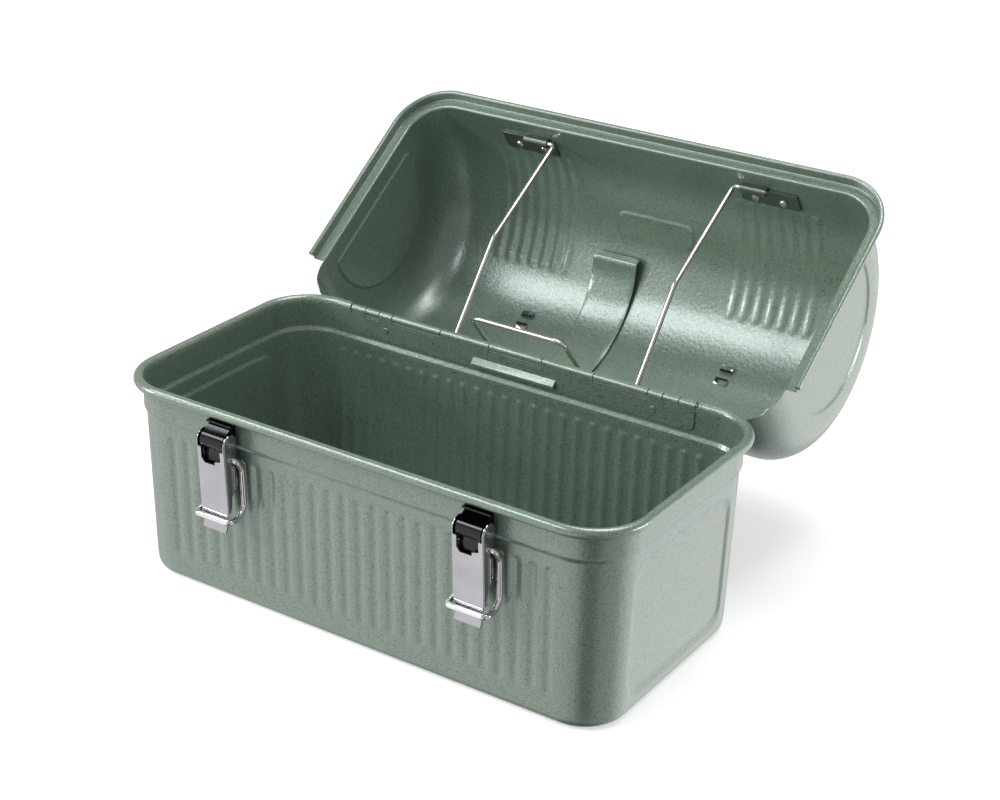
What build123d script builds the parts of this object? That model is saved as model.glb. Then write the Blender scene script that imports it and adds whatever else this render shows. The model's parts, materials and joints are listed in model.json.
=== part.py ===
from build123d import *
import os
from math import atan, cos, degrees, radians, sin, sqrt

# Workman's dome-lid lunch box, drawn in millimetres.
# Origin: middle of the footprint on the ground.  +X right, -Y front, +Z up.
# Every lid piece is drawn in the closed position and then swung open about the hinge.

# ---- overall sizes ----
TUB_SHEET = 1.0          # drawn steel sheet of the tub
LID_SHEET = 0.5          # the lid is drawn from thinner sheet
RIM_X = 163.0            # half length over the rim bead
RIM_Y = 84.0             # half width over the rim bead
RIM_Z = 120.0            # height of the tub over the bead
BEAD_R = 3.0             # rolled rim bead
RIM_CORNER = 31.0        # plan radius of the bead's outside
NECK_IN = 5.2            # neck wall lies this far inside the bead's outside
SHOULDER_Z = 98.5        # top of the drafted wall
NECK_Z = 100.5           # start of the straight neck
WALL_STEP = 1.4          # wall sits this far inside the neck
WALL_DRAFT = 2.6         # wall runs in by this much down to the base
BASE_FILLET = 6.0        # radius between wall and base
PRESS = 1.0              # depth of the pressed-in ribs and panels

# ---- ribs ----
RIB_PITCH = 9.8
RIB_PAIRS = 13
RIB_WIDTH = 4.6
RIB_LOW = 17.0
RIB_HIGH = 91.0

# ---- hinge ----
HINGE_Y = 79.4
HINGE_Z = 117.6
LID_OPEN = 144.5         # angle from closed to the open stop
KNUCKLE_R = 2.4
PIN_R = 1.4
HINGE_HALF = 117.0
CUTS = [-117.0, -106.5, -96.5, -87.0, -52.0, -18.0, 18.0, 52.0, 87.0, 96.5, 106.5, 117.0]
LEAF = 0.8
KNUCKLE_GAP = 0.3
HINGE_RIVET_X = 91.0
TUB_RIVET_Z = 109.5      # rivets through the tub's leaf
LID_RIVET_Z = 129.0      # rivets through the lid's leaf, closed
LOUVER = 56.0            # width of the lanced flap in the tub's leaf

# ---- lid ----
LID_X = 157.8            # half length over the end walls
LID_R = 78.6             # outside radius of the dome, also its half width
DOME_Z = 142.0           # height of the dome's axis when closed
LID_EDGE = 120.6         # underside of the lid's ledge when closed
END_FILLET = 24.0        # between dome and end walls
SKIRT_X = 164.4
SKIRT_Y = 85.4
SKIRT_LOW = 115.6
LIP_R = 1.6
SKIRT_END = 53.0         # the skirt stops here, short of the back corners

# ---- latches ----
LATCH_X = 83.0
PIVOT_Y = -86.0
PIVOT_Z = 104.0
LEVER_LEAN = 3.0
RIVET_Z = 104.8
LOOP_Y = -85.0
LOOP_Z = 94.5
LOOP_R = 1.6
LOOP_X = 12.3
LATCH_RIVET_X = 4.2      # rivets lie this far each side of a latch's middle

# ---- bottle bail ----
BAIL_Y = -75.0
BAIL_Z = 132.5
BAIL_R = 1.5
BAIL_X = 62.5
CATCH_Z = 142.5          # rivet row shared by the bail brackets and the catches, closed
CATCH_RIVET_X = 9.1

# ---- carrying handle ----
HANDLE_X = 72.0
HANDLE_Y = 3.0
HANDLE_Z = DOME_Z + LID_R + 5.2
WIRE_R = 2.5
HANDLE_REACH = 34.0
HANDLE_HANG = 35.5       # hanging direction, measured back from straight up on the lid

HINGE = Axis((0, HINGE_Y, HINGE_Z), (1, 0, 0))
os.makedirs("parts", exist_ok=True)


def opened(shape):
    """Swing a closed-position lid piece to the open stop."""
    return shape.rotate(HINGE, -LID_OPEN)


def save(builder_part, name):
    builder_part.label = name
    export_step(builder_part, f"parts/{name}.step")


def facing_back(across, y, z):
    """Planes facing +Y at the given places across the box, for rivet holes."""
    return [Plane(origin=(x, y, z), z_dir=(0, 1, 0)) for x in across]


def neck_half(inset=0.0):
    return RIM_X - NECK_IN - inset, RIM_Y - NECK_IN - inset


def tub_solid(inset, floor):
    """Closed block with the tub's outside (inset 0) or inside (inset = sheet) shape."""
    neck_x, neck_y = neck_half(inset)
    top_x = neck_x - WALL_STEP
    top_y = neck_y - WALL_STEP
    low_x = top_x - WALL_DRAFT
    low_y = top_y - WALL_DRAFT
    lift = inset * 0.6
    draft = degrees(atan(WALL_DRAFT / (SHOULDER_Z + lift)))
    flare = degrees(atan(WALL_STEP / (NECK_Z - SHOULDER_Z)))
    with BuildPart() as block:
        with BuildSketch(Plane.XY):
            RectangleRounded(2 * low_x, 2 * low_y, 25 - inset)
        extrude(amount=SHOULDER_Z + lift, taper=-draft)
        with BuildSketch(Plane.XY.offset(SHOULDER_Z + lift)):
            RectangleRounded(2 * top_x, 2 * top_y, 25 - inset + WALL_DRAFT)
        extrude(amount=NECK_Z - SHOULDER_Z, taper=-flare)
        with BuildSketch(Plane.XY.offset(NECK_Z + lift)):
            RectangleRounded(2 * neck_x, 2 * neck_y, 25 - inset + WALL_DRAFT + WALL_STEP)
        extrude(amount=RIM_Z - NECK_Z + 4)
    trimmed = block.part & Pos(0, 0, floor + 100) * Box(400, 300, 200)
    low_edges = [e for e in trimmed.edges() if e.center().Z < floor + 0.01]
    return trimmed.fillet(BASE_FILLET - inset, low_edges)


def press_tools(grow):
    """The ribs and end panels as blocks that stand on the wall; grow widens them all round."""
    lean = degrees(atan(WALL_DRAFT / SHOULDER_Z))
    wall_x, wall_y = neck_half()
    low_x = wall_x - WALL_STEP - WALL_DRAFT
    low_y = wall_y - WALL_STEP - WALL_DRAFT
    tall = RIB_HIGH - RIB_LOW
    middle = (RIB_HIGH + RIB_LOW) / 2
    out = cos(radians(lean))
    down = -sin(radians(lean))
    front = Plane(origin=(0, -low_y, 0), x_dir=(1, 0, 0), z_dir=(0, -out, down))
    back = Plane(origin=(0, low_y, 0), x_dir=(-1, 0, 0), z_dir=(0, out, down))
    right = Plane(origin=(low_x, 0, 0), x_dir=(0, 1, 0), z_dir=(out, 0, down))
    left = Plane(origin=(-low_x, 0, 0), x_dir=(0, -1, 0), z_dir=(-out, 0, down))
    near = 0.5 if grow else -0.5
    deep = PRESS + (TUB_SHEET if grow else 0)
    with BuildPart() as tools:
        for wall in (front, back):
            with BuildSketch(wall.offset(-deep)):
                with Locations((0, middle)):
                    with GridLocations(RIB_PITCH, 1, 2 * RIB_PAIRS, 1):
                        SlotOverall(tall + 2 * grow, RIB_WIDTH + 2 * grow, rotation=90)
            extrude(amount=deep - near)
        for wall in (left, right):
            with BuildSketch(wall.offset(-deep)):
                with Locations((0, 50.5)):
                    RectangleRounded(97 + 2 * grow, 78 + 2 * grow, 11 + grow)
            extrude(amount=deep - near)
    return tools.part


def rounded_path(half_x, half_y, radius):
    """Rounded rectangle as lines and arcs, starting in the middle of the front side."""
    a = half_x - radius
    b = half_y - radius
    q = radius * sin(radians(45))
    Line((0, -half_y), (a, -half_y))
    ThreePointArc((a, -half_y), (a + q, -b - q), (half_x, -b))
    Line((half_x, -b), (half_x, b))
    ThreePointArc((half_x, b), (a + q, b + q), (a, half_y))
    Line((a, half_y), (-a, half_y))
    ThreePointArc((-a, half_y), (-a - q, b + q), (-half_x, b))
    Line((-half_x, b), (-half_x, -b))
    ThreePointArc((-half_x, -b), (-a - q, -b - q), (-a, -half_y))
    Line((-a, -half_y), (0, -half_y))


def make_tub():
    outside = tub_solid(0.0, 0.0)
    inside = tub_solid(TUB_SHEET, TUB_SHEET)
    raised = press_tools(TUB_SHEET)
    pressed = press_tools(0.0)
    bead_x = RIM_X - BEAD_R
    bead_y = RIM_Y - BEAD_R
    with BuildPart() as tub:
        add(outside)
        add(inside, mode=Mode.SUBTRACT)
        with Locations((0, 0, RIM_Z - BEAD_R + 20)):
            Box(400, 300, 40, mode=Mode.SUBTRACT)
        add(raised)
        add(pressed, mode=Mode.SUBTRACT)
        with BuildLine(Plane.XY.offset(RIM_Z - BEAD_R)) as rim_path:
            rounded_path(bead_x, bead_y, RIM_CORNER - BEAD_R)
        with BuildSketch(Plane(origin=(0, -bead_y, RIM_Z - BEAD_R), z_dir=(1, 0, 0))):
            Circle(BEAD_R)
        sweep(path=rim_path.wires()[0])
        # the bead stops at both ends of the hinge and the neck is trimmed under the barrel
        with Locations((0, RIM_Y, RIM_Z)):
            Box(2 * HINGE_HALF + 3, 20, 2 * (RIM_Z - 114.4), mode=Mode.SUBTRACT)
        with Locations((0, RIM_Y - NECK_IN + 6, 116)):
            Box(2 * HINGE_HALF + 3, 12, 10, mode=Mode.SUBTRACT)
        # rivet holes
        with Locations(*facing_back((-HINGE_RIVET_X, HINGE_RIVET_X), HINGE_Y, TUB_RIVET_Z)):
            Cylinder(1.3, 12, mode=Mode.SUBTRACT)
        spots = [s * LATCH_X + d for s in (-1, 1) for d in (-LATCH_RIVET_X, LATCH_RIVET_X)]
        with Locations(*facing_back(spots, -79, RIVET_Z)):
            Cylinder(1.3, 6, mode=Mode.SUBTRACT)
    save(tub.part, "base_tub")


def hinge_segments(lid_side):
    """Knuckle spans of one leaf: the tub holds the even spans, the lid the odd ones."""
    spans = list(zip(CUTS[:-1], CUTS[1:]))
    return spans[1::2] if lid_side else spans[0::2]


def knuckle_bars(lid_side, radius):
    """Round bars along the hinge axis over one leaf's knuckle spans."""
    with BuildPart() as bars:
        for low, high in hinge_segments(lid_side):
            with BuildSketch(Plane(origin=(low + KNUCKLE_GAP, HINGE_Y, HINGE_Z), z_dir=(1, 0, 0))):
                Circle(radius)
            extrude(amount=high - low - 2 * KNUCKLE_GAP)
    return bars.part


def make_hinge_leaf_base():
    front_y = HINGE_Y - KNUCKLE_R
    with BuildPart() as leaf:
        with BuildSketch(Plane(origin=(0, front_y + LEAF, 0), x_dir=(1, 0, 0), z_dir=(0, -1, 0))):
            with Locations((0, (103.0 + HINGE_Z) / 2)):
                Rectangle(2 * HINGE_HALF - 0.6, HINGE_Z - 103.0)
        extrude(amount=LEAF)
        fillet([e for e in leaf.edges().filter_by(Axis.Y) if e.center().Z < 104], 4)
        # notches that let the lid's knuckles turn
        for low, high in hinge_segments(True):
            with Locations(((low + high) / 2, front_y, HINGE_Z)):
                Box(high - low, 6, 2 * 3.1, mode=Mode.SUBTRACT)
        add(knuckle_bars(False, KNUCKLE_R))
        with Locations(Plane(origin=(0, HINGE_Y, HINGE_Z), z_dir=(1, 0, 0))):
            Cylinder(PIN_R, 300, mode=Mode.SUBTRACT)
        # lanced louver in the middle: a flap bent in over a slot
        with Locations((0, front_y, 106.1)):
            Box(LOUVER, 6, 3.4, mode=Mode.SUBTRACT)
        with BuildSketch(Plane(origin=(-LOUVER / 2, 0, 0), x_dir=(0, 1, 0), z_dir=(1, 0, 0))):
            with BuildLine():
                Polyline(
                    (front_y + LEAF, 109.0),
                    (front_y, 109.6),
                    (front_y - 2.8, 106.6),
                    (front_y - 2.9, 105.2),
                    (front_y - 2.1, 105.2),
                    (front_y - 2.0, 106.2),
                    (front_y + LEAF, 108.0),
                    close=True,
                )
            make_face()
        extrude(amount=LOUVER)
        with Locations(*facing_back((-HINGE_RIVET_X, HINGE_RIVET_X), HINGE_Y, TUB_RIVET_Z)):
            Cylinder(1.3, 12, mode=Mode.SUBTRACT)
    save(leaf.part, "hinge_leaf_base")


def make_hinge_leaf_lid():
    out_y = LID_R + LEAF
    with BuildPart() as leaf:
        with BuildSketch(Plane(origin=(0, out_y, 0), x_dir=(1, 0, 0), z_dir=(0, -1, 0))):
            with Locations((0, (HINGE_Z + 134) / 2)):
                Rectangle(2 * HINGE_HALF - 0.6, 134 - HINGE_Z)
        extrude(amount=LEAF)
        fillet([e for e in leaf.edges().filter_by(Axis.Y) if e.center().Z > 133], 4)
        for low, high in hinge_segments(False):
            with Locations(((low + high) / 2, out_y, HINGE_Z)):
                Box(high - low, 6, 2 * 3.1, mode=Mode.SUBTRACT)
        add(knuckle_bars(True, KNUCKLE_R))
        with Locations(Plane(origin=(0, HINGE_Y, HINGE_Z), z_dir=(1, 0, 0))):
            Cylinder(PIN_R + 0.05, 300, mode=Mode.SUBTRACT)
        with Locations(*facing_back((-HINGE_RIVET_X, 0, HINGE_RIVET_X), LID_R, LID_RIVET_Z)):
            Cylinder(1.3, 6, mode=Mode.SUBTRACT)
    save(opened(leaf.part), "hinge_leaf_lid")


def make_hinge_pin():
    with BuildPart() as pin:
        with BuildSketch(Plane(origin=(-HINGE_HALF - 0.4, HINGE_Y, HINGE_Z), z_dir=(1, 0, 0))):
            Circle(PIN_R)
        extrude(amount=2 * HINGE_HALF + 0.8)
        chamfer(pin.edges().filter_by(GeomType.CIRCLE), 0.4)
    save(pin.part, "hinge_pin")


def rivet(plane, grip, head_r=2.4, head_h=1.0, tail_r=2.4, tail_h=0.9, shank=1.3):
    """Domed rivet: head at the plane, shank running back along -z for the grip, domed tail."""
    with BuildPart() as body:
        with BuildSketch(plane.offset(-grip)):
            Circle(shank)
        extrude(amount=grip)
        ends = ((plane, head_r, head_h, 1), (plane.offset(-grip), tail_r, tail_h, -1))
        for base, radius, height, way in ends:
            with BuildSketch(base):
                Circle(radius)
            extrude(amount=way * height)
            rim = [e for e in body.edges().filter_by(GeomType.CIRCLE) if abs(e.radius - radius) < 1e-6]
            far = [e for e in rim if abs(base.to_local_coords(e.arc_center).Z - way * height) < 1e-4]
            fillet(far, min(height, radius) * 0.85)
    return body.part


def make_hinge_rivets():
    with BuildPart() as base_rivets:
        for x in (-HINGE_RIVET_X, HINGE_RIVET_X):
            inner = Plane(origin=(x, HINGE_Y - KNUCKLE_R, TUB_RIVET_Z), z_dir=(0, -1, 0))
            add(rivet(inner, LEAF + TUB_SHEET, 2.0, 0.7, 2.2, 0.8))
    save(base_rivets.part, "hinge_rivets_base")
    with BuildPart() as lid_rivets:
        for x in (-HINGE_RIVET_X, 0, HINGE_RIVET_X):
            outer = Plane(origin=(x, LID_R + LEAF, LID_RIVET_Z), z_dir=(0, 1, 0))
            add(rivet(outer, LEAF + LID_SHEET, 2.2, 0.8, 2.0, 0.7))
    save(opened(lid_rivets.part), "hinge_rivets_lid")


def dome_solid(inset, low):
    """Closed dome block: flat walls up to the dome's axis, a round crown and filleted ends."""
    radius = LID_R - inset
    half = LID_X - inset
    with BuildPart() as dome:
        with BuildSketch(Plane(origin=(-half, 0, 0), x_dir=(0, 1, 0), z_dir=(1, 0, 0))):
            with BuildLine():
                Line((-radius, low), (radius, low))
                Line((radius, low), (radius, DOME_Z))
                ThreePointArc((radius, DOME_Z), (0, DOME_Z + radius), (-radius, DOME_Z))
                Line((-radius, DOME_Z), (-radius, low))
            make_face()
        extrude(amount=2 * half)
        ends = [e for e in dome.edges() if abs(abs(e.center().X) - half) < 0.01]
        fillet([e for e in ends if e.center().Z > low + 0.01], END_FILLET - inset)
    return dome.part


def lid_press_tools(grow):
    """Ribs, plaque and end arches pressed into the lid, as blocks; grow widens them all round."""
    near = 0.3 if grow else -0.6
    deep = PRESS + (LID_SHEET if grow else 0)
    outer = LID_R - near
    inner = LID_R - deep
    first = 60.0
    with BuildPart() as tools:
        for side in (-1, 1):
            for k in range(7):
                x = side * (first + 8.5 * k)
                with BuildSketch(Plane(origin=(x, 0, 0), x_dir=(0, 1, 0), z_dir=(1, 0, 0))):
                    with Locations((0, DOME_Z)):
                        Circle(outer)
                        Circle(inner, mode=Mode.SUBTRACT)
                    with BuildLine():
                        Polyline((0, DOME_Z), *rib_wedge(grow), close=True)
                    make_face(mode=Mode.INTERSECT)
                extrude(amount=2.1 + grow, both=True)
        for side in (-1, 1):
            wall = Plane(origin=(side * (LID_X - deep), 0, 0), x_dir=(0, side, 0), z_dir=(side, 0, 0))
            with BuildSketch(wall):
                with Locations((0, DOME_Z)):
                    Circle(46.5 + grow)
                with Locations((0, 132 - grow - 100)):
                    Rectangle(200, 200, mode=Mode.SUBTRACT)
                fillet([v for v in vertices() if v.Y < 133], 5 + grow)
            extrude(amount=deep - near)
    return tools.part


def rib_wedge(grow):
    """Corners of the wedge, seen from the end, that a lid rib fills between wall foot and crown."""
    low = radians(90 - 5.6 + grow * 0.6)
    high = radians(26 - grow * 0.6)
    middle = (low + high) / 2
    return [(-160 * sin(a), DOME_Z + 160 * cos(a)) for a in (low, middle, high)]


def plaque_tool(grow):
    near = 0.3 if grow else -0.6
    deep = PRESS + (LID_SHEET if grow else 0)
    tilt = radians(56)
    face = Plane(
        origin=(0, -(LID_R + 6) * sin(tilt), DOME_Z + (LID_R + 6) * cos(tilt)),
        x_dir=(1, 0, 0),
        z_dir=(0, -sin(tilt), cos(tilt)),
    )
    with BuildPart() as ring:
        with BuildSketch(Plane(origin=(-40, 0, 0), x_dir=(0, 1, 0), z_dir=(1, 0, 0))):
            with Locations((0, DOME_Z)):
                Circle(LID_R - near)
                Circle(LID_R - deep, mode=Mode.SUBTRACT)
        extrude(amount=80)
        with BuildSketch(face):
            RectangleRounded(54 + 2 * grow, 17 + 2 * grow, 6 + grow)
        extrude(amount=-20, mode=Mode.INTERSECT)
    return ring.part


def make_lid_shell():
    outside = dome_solid(0.0, LID_EDGE)
    inside = dome_solid(LID_SHEET, LID_EDGE - 5)
    raised = lid_press_tools(LID_SHEET)
    pressed = lid_press_tools(0.0)
    skirt_back = 110.0
    half_y = (SKIRT_Y + skirt_back) / 2
    mid_y = (skirt_back - SKIRT_Y) / 2
    corner = END_FILLET + SKIRT_X - LID_X
    with BuildPart() as rim:
        with BuildSketch(Plane.XY.offset(SKIRT_LOW)):
            with Locations((0, mid_y)):
                RectangleRounded(2 * SKIRT_X, 2 * half_y, corner)
                RectangleRounded(
                    2 * (SKIRT_X - LID_SHEET),
                    2 * (half_y - LID_SHEET),
                    corner - LID_SHEET,
                    mode=Mode.SUBTRACT,
                )
        extrude(amount=LID_EDGE + LID_SHEET - SKIRT_LOW)
        with BuildSketch(Plane.XY.offset(LID_EDGE)):
            with Locations((0, mid_y)):
                RectangleRounded(2 * SKIRT_X, 2 * half_y, corner)
        extrude(amount=LID_SHEET)
        fillet([e for e in rim.edges() if e.center().Z > LID_EDGE + LID_SHEET - 0.01], 0.7)
        lip_x = SKIRT_X + LIP_R - LID_SHEET
        lip_y = half_y + LIP_R - LID_SHEET
        with BuildLine(Plane(origin=(0, mid_y, SKIRT_LOW + 0.6))) as lip_path:
            rounded_path(lip_x, lip_y, corner + LIP_R - LID_SHEET)
        with BuildSketch(Plane(origin=(0, mid_y - lip_y, SKIRT_LOW + 0.6), z_dir=(1, 0, 0))):
            Circle(LIP_R)
        sweep(path=lip_path.wires()[0])
        with Locations((0, SKIRT_END + 100, LID_EDGE)):
            Box(400, 200, 60, mode=Mode.SUBTRACT)
    with BuildPart() as lid:
        add(outside)
        add(rim.part)
        add(inside, mode=Mode.SUBTRACT)
        add(raised)
        add(plaque_tool(LID_SHEET))
        add(pressed, mode=Mode.SUBTRACT)
        add(plaque_tool(0.0), mode=Mode.SUBTRACT)
        # the back edge stands clear of the tub's bead and of the hinge barrel
        with Locations((0, 70 + 50, 122.8 - 20)):
            Box(400, 100, 40, mode=Mode.SUBTRACT)
        with Locations(*facing_back((-HINGE_RIVET_X, 0, HINGE_RIVET_X), LID_R, LID_RIVET_Z)):
            Cylinder(1.3, 6, mode=Mode.SUBTRACT)
        spots = [s * LATCH_X + d for s in (-1, 1) for d in (-CATCH_RIVET_X, CATCH_RIVET_X)]
        with Locations(*facing_back(spots, -LID_R, CATCH_Z)):
            Cylinder(1.6, 6, mode=Mode.SUBTRACT)
        for side in (-1, 1):
            for y in (-4.0, 9.0):
                with Locations((side * HANDLE_X, y + 0.6, DOME_Z + LID_R)):
                    Box(8.3, 1.3, 8, mode=Mode.SUBTRACT)
    save(opened(lid.part), "lid_shell")


def make_crown_strap():
    """Leaf spring inside the crown: fast to the back wall, free and turned out at the front."""
    x_low, x_high = -38.5, -7.0
    hug = LID_R - LID_SHEET - 0.7
    lift = 10.5
    upper = []
    lower = []
    for step in range(0, 13):
        ang = -72 + step * 9.2
        free = max(0.0, (ang + 40) / 78.4)
        r = hug - lift * free * free * (3 - 2 * free)
        lean = (cos(radians(ang)), sin(radians(ang)))
        upper.append((-(r + 0.5) * lean[1], DOME_Z + (r + 0.5) * lean[0]))
        lower.append((-(r - 0.5) * lean[1], DOME_Z + (r - 0.5) * lean[0]))
    end_y = (upper[-1][0] + lower[-1][0]) / 2
    end_z = (upper[-1][1] + lower[-1][1]) / 2
    with BuildPart() as strap:
        with BuildSketch(Plane(origin=(x_low, 0, 0), x_dir=(0, 1, 0), z_dir=(1, 0, 0))):
            with BuildLine():
                Spline(*upper)
                Line(upper[-1], lower[-1])
                Spline(*reversed(lower))
                Line(lower[0], upper[0])
            make_face()
        extrude(amount=x_high - x_low)
        with BuildSketch(Plane(origin=(x_low, 0, 0), x_dir=(0, 1, 0), z_dir=(1, 0, 0))):
            with BuildLine():
                Polyline(
                    (end_y + 0.45, end_z - 0.35),
                    (end_y - 0.6, end_z - 0.6),
                    (end_y - 4.9, end_z + 4.6),
                    (end_y - 4.1, end_z + 5.3),
                    (end_y - 0.1, end_z + 0.6),
                    close=True,
                )
            make_face()
        extrude(amount=x_high - x_low)
        tips = strap.edges().filter_by(lambda e: abs(e.center().Y - end_y + 4.5) < 0.6 and e.length < 1.4)
        fillet(tips, 2.5)
    save(opened(strap.part), "crown_strap")


def make_bail_brackets():
    plate_y = -(LID_R - LID_SHEET) + 0.2
    for side, name in ((-1, "bail_bracket_left"), (1, "bail_bracket_right")):
        with BuildPart() as bracket:
            with BuildSketch(Plane(origin=(0, plate_y + 1, 0), x_dir=(1, 0, 0), z_dir=(0, -1, 0))):
                with Locations((side * 83.5, 140.2)):
                    Rectangle(38, 14)
            extrude(amount=1)
            fillet([e for e in bracket.edges().filter_by(Axis.Y) if e.center().Z > 147], 1.5)
            with Locations((side * 75.6, plate_y + 0.5, 133)):
                Box(16.8, 1, 4)
            with BuildSketch(Plane(origin=(side * 75.6 - 8.4, BAIL_Y, BAIL_Z), z_dir=(1, 0, 0))):
                Circle(BAIL_R + 1.05)
            extrude(amount=16.8)
            with Locations(Plane(origin=(side * 75.0, BAIL_Y, BAIL_Z), z_dir=(1, 0, 0))):
                Cylinder(BAIL_R + 0.05, 40, mode=Mode.SUBTRACT)
            holes = [side * LATCH_X + d for d in (-CATCH_RIVET_X, CATCH_RIVET_X)]
            with Locations(*facing_back(holes, plate_y, CATCH_Z)):
                Cylinder(1.6, 6, mode=Mode.SUBTRACT)
        save(opened(bracket.part), name)


def make_lid_catches():
    """Hook plates outside the lid's front wall that the latch loops pull down on."""
    for side, name in ((-1, "lid_catch_left"), (1, "lid_catch_right")):
        with BuildPart() as catch:
            with BuildSketch(Plane(origin=(0, -LID_R, 0), x_dir=(1, 0, 0), z_dir=(0, -1, 0))):
                with Locations((side * LATCH_X, CATCH_Z)):
                    RectangleRounded(28, 12, 3)
                with Locations((side * LATCH_X, 134)):
                    Rectangle(18, 14)
            extrude(amount=1)
            with Locations((side * LATCH_X, -LID_R - 3, 127.5)):
                Box(18, 6, 1)
            with Locations((side * LATCH_X, -LID_R - 5.5, 130)):
                Box(18, 1, 6)
            fillet([e for e in catch.edges().filter_by(Axis.X) if e.center().Z < 127.1], 0.9)
            ears = [e for e in catch.edges().filter_by(Axis.Y) if e.center().Z > 132.9]
            fillet([e for e in ears if e.center().Y < -83], 2)
            holes = [side * LATCH_X + d for d in (-CATCH_RIVET_X, CATCH_RIVET_X)]
            with Locations(*facing_back(holes, -LID_R, CATCH_Z)):
                Cylinder(1.6, 6, mode=Mode.SUBTRACT)
        save(opened(catch.part), name)


def make_bail_rivets():
    with BuildPart() as rivets:
        for x in [s * LATCH_X + d for s in (-1, 1) for d in (-CATCH_RIVET_X, CATCH_RIVET_X)]:
            front = Plane(origin=(x, -LID_R - 1, CATCH_Z), z_dir=(0, -1, 0))
            add(rivet(front, 2.7, 3.0, 1.2, 2.8, 1.3, 1.6))
    save(opened(rivets.part), "bail_rivets")


def wire(points, radius, bend):
    """Round wire through the points with bends of the given radius."""
    with BuildPart() as body:
        with BuildLine() as path:
            FilletPolyline(*points, radius=bend)
        start = Vector(*points[0])
        way = Vector(*points[1]) - start
        with BuildSketch(Plane(origin=start, z_dir=way)):
            Circle(radius)
        sweep(path=path.wires()[0])
    return body.part


def make_bottle_bail():
    half = [
        (84.5, BAIL_Y, BAIL_Z),
        (BAIL_X, BAIL_Y, BAIL_Z),
        (BAIL_X, 2.0, 127.5),
        (BAIL_X, 68.0, 147.5),
        (31.5, 68.0, 147.5),
        (31.5, 71.6, 104.0),
    ]
    points = half + [(-x, y, z) for x, y, z in reversed(half)]
    bends = [2.6, 12.0, 4.0, 4.0, 7.0]
    with BuildPart() as bail:
        add(wire(points, BAIL_R, bends + bends[::-1]))
    save(opened(bail.part), "bottle_bail")


def make_handle():
    for side, name in ((-1, "handle_bracket_left"), (1, "handle_bracket_right")):
        with BuildPart() as bracket:
            with BuildSketch(Plane(origin=(side * HANDLE_X - 8, 0, 0), x_dir=(0, 1, 0), z_dir=(1, 0, 0))):
                with Locations((0, DOME_Z)):
                    Circle(LID_R + 1.2)
                    Circle(LID_R, mode=Mode.SUBTRACT)
                with Locations((HANDLE_Y, HANDLE_Z)):
                    Rectangle(18, 16, mode=Mode.INTERSECT)
                with Locations((HANDLE_Y, HANDLE_Z)):
                    Circle(WIRE_R + 1.7)
                with Locations((HANDLE_Y, HANDLE_Z - 2.4)):
                    Rectangle(2 * (WIRE_R + 1.7), 4.4)
                with Locations((0, DOME_Z)):
                    Circle(LID_R, mode=Mode.SUBTRACT)
                with Locations((HANDLE_Y, HANDLE_Z)):
                    Circle(WIRE_R + 0.05, mode=Mode.SUBTRACT)
            extrude(amount=16)
            # two tabs go through the crown and are clinched towards each other inside
            top = DOME_Z + LID_R
            for y, way in ((-4.0, 1), (9.0, -1)):
                with Locations((side * HANDLE_X, y + 0.6, top - 0.6)):
                    Box(8, 1.0, 3.8)
                with Locations((side * HANDLE_X, y + 0.6 + way * 1.9, top - 2.0)):
                    Box(8, 4.8, 1.0)
        save(opened(bracket.part), name)
    half = [
        (HANDLE_X - 8.5, HANDLE_Y, HANDLE_Z),
        (HANDLE_X + 16.0, HANDLE_Y, HANDLE_Z),
        (HANDLE_X + 16.0, HANDLE_Y, HANDLE_Z + HANDLE_REACH),
    ]
    points = half + [(-x, y, z) for x, y, z in reversed(half)]
    hang = Axis((0, HANDLE_Y, HANDLE_Z), (1, 0, 0))
    with BuildPart() as handle:
        add(wire(points, WIRE_R, 7.0))
    save(opened(handle.part.rotate(hang, -HANDLE_HANG)), "handle_wire")
    with BuildPart() as grip:
        with BuildSketch(Plane(origin=(0, HANDLE_Y, 0), x_dir=(1, 0, 0), z_dir=(0, -1, 0))):
            with BuildLine():
                Line((-50, HANDLE_Z + HANDLE_REACH), (50, HANDLE_Z + HANDLE_REACH))
                Line((50, HANDLE_Z + HANDLE_REACH), (50, HANDLE_Z + HANDLE_REACH + 5.6))
                ThreePointArc(
                    (50, HANDLE_Z + HANDLE_REACH + 5.6),
                    (0, HANDLE_Z + HANDLE_REACH + 7.2),
                    (-50, HANDLE_Z + HANDLE_REACH + 5.6),
                )
                Line((-50, HANDLE_Z + HANDLE_REACH + 5.6), (-50, HANDLE_Z + HANDLE_REACH))
            make_face()
        revolve(axis=Axis((0, HANDLE_Y, HANDLE_Z + HANDLE_REACH), (1, 0, 0)))
        fillet(grip.edges().filter_by(GeomType.CIRCLE), 2.0)
        with Locations(Plane(origin=(0, HANDLE_Y, HANDLE_Z + HANDLE_REACH), z_dir=(1, 0, 0))):
            Cylinder(WIRE_R, 120, mode=Mode.SUBTRACT)
    save(opened(grip.part.rotate(hang, -HANDLE_HANG)), "handle_grip")


def leaned(shape):
    """Lean a latch piece in towards the wall about the lever's pivot."""
    return shape.rotate(Axis((0, PIVOT_Y, PIVOT_Z), (1, 0, 0)), LEVER_LEAN)


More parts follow.
